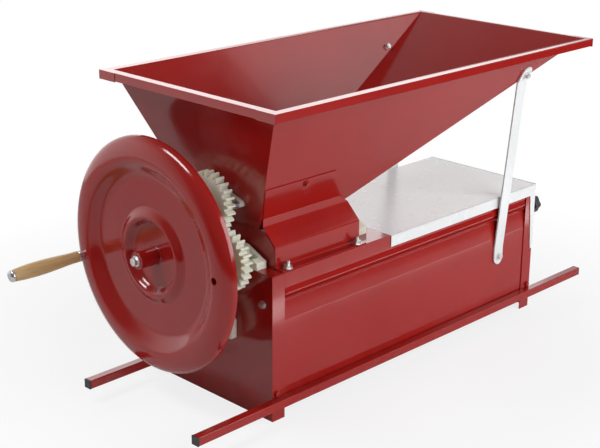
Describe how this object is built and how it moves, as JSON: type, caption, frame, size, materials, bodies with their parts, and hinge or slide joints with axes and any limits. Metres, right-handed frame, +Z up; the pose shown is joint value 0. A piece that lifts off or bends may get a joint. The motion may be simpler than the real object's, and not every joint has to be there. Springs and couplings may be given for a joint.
{
  "type": "grape crusher destemmer",
  "caption": "Hand cranked grape crusher and destemmer: sheet steel hopper, lobed rollers, geared flywheel with wooden handle, paddle shaft in a perforated trough, sheet cover.",
  "frame": {"origin": "middle of the bounding box's base, on the floor that the end panels' posts stand on", "axes": "+X along the machine from the flywheel to the stem outlet, +Y to the rear, the side that the flywheel's shaft lies on, +Z up"},
  "size_m": [1.308, 0.5292, 0.635],
  "materials": {
    "red_paint": "glossy deep red powder coat",
    "white_paint": "glossy white powder coat",
    "nylon": "natural cast nylon, satin",
    "zinc_steel": "bright zinc plate",
    "cast_aluminium": "as cast, satin",
    "stainless": "mill finish stainless steel",
    "beech": "oiled beech",
    "black_plastic": "moulded, satin"
  },
  "bodies": {
    "body": {"end_panel_left": "red_paint", "end_panel_right": "red_paint", "wall_front": "red_paint", "wall_rear": "red_paint", "skid_front": "red_paint", "skid_rear": "red_paint", "skid_plug_front_left": "black_plastic", "skid_plug_front_right": "black_plastic", "skid_plug_rear_left": "black_plastic", "skid_plug_rear_right": "black_plastic", "crusher_frame": "red_paint", "hopper": "red_paint", "apron_front": "red_paint", "apron_rear": "red_paint", "housing_end_left": "red_paint", "housing_end_right": "red_paint", "apron_bolt_front_left": "zinc_steel", "apron_bolt_front_right": "zinc_steel", "apron_bolt_rear_left": "zinc_steel", "apron_bolt_rear_right": "zinc_steel", "strut_front": "white_paint", "strut_rear": "white_paint", "strut_bolt_front_top": "zinc_steel", "strut_bolt_front_foot": "zinc_steel", "strut_bolt_rear_top": "zinc_steel", "strut_bolt_rear_foot": "zinc_steel", "bearing_block_front_left": "nylon", "bearing_block_front_right": "nylon", "bearing_block_rear_left": "nylon", "bearing_block_rear_right": "nylon", "agitator_bearing": "nylon", "agitator_bush": "nylon", "destemmer_bearing": "nylon", "outlet_bush": "nylon", "screen": "stainless", "screen_rail_front": "red_paint", "screen_rail_rear": "red_paint"},
    "crank": {"flywheel": "red_paint", "hub_bolt": "zinc_steel", "handle_spindle": "zinc_steel", "roller_rear": "cast_aluminium", "gear_rear": "nylon", "gear_drive": "nylon"},
    "grip": {"handle_grip": "beech"},
    "front_roller": {"roller_front": "cast_aluminium", "gear_front": "nylon"},
    "agitator": {"agitator": "stainless", "gear_agitator": "nylon"},
    "destemmer": {"destemmer_shaft": "stainless", "pinion": "nylon"},
    "cover": {"cover": "white_paint"},
    "knob_front": {"cover_knob_front": "black_plastic"},
    "knob_rear": {"cover_knob_rear": "black_plastic"}
  },
  "joints": [
    {"name": "flywheel_spin", "type": "hinge", "parent": "body", "child": "crank", "pos_m": [-0.354, 0.03363, 0.313], "axis": [1, 0, 0], "continuous": true},
    {"name": "front_roller_spin", "type": "hinge", "parent": "body", "child": "front_roller", "pos_m": [-0.354, -0.07888, 0.313], "axis": [1, 0, 0], "continuous": true},
    {"name": "agitator_spin", "type": "hinge", "parent": "body", "child": "agitator", "pos_m": [-0.354, -0.03366, 0.41601], "axis": [1, 0, 0], "continuous": true},
    {"name": "destemmer_spin", "type": "hinge", "parent": "body", "child": "destemmer", "pos_m": [-0.354, -0.02262, 0.16535], "axis": [1, 0, 0], "continuous": true},
    {"name": "grip_spin", "type": "hinge", "parent": "crank", "child": "grip", "pos_m": [-0.554, 0.23272, 0.2663], "axis": [1, 0, 0], "continuous": true},
    {"name": "cover_slide", "type": "slide", "parent": "body", "child": "cover", "axis": [1, 0, 0], "range_m": [0, 0.5]},
    {"name": "knob_front_turn", "type": "hinge", "parent": "cover", "child": "knob_front", "pos_m": [0.486, -0.15063, 0.239], "axis": [1, 0, 0], "continuous": true},
    {"name": "knob_rear_turn", "type": "hinge", "parent": "cover", "child": "knob_rear", "pos_m": [0.486, 0.10537, 0.239], "axis": [1, 0, 0], "continuous": true}
  ],
  "couplings": [
    {"joint": "front_roller_spin", "follows": "flywheel_spin", "ratio": -1},
    {"joint": "agitator_spin", "follows": "flywheel_spin", "ratio": 1},
    {"joint": "destemmer_spin", "follows": "flywheel_spin", "ratio": -3.1579}
  ]
}
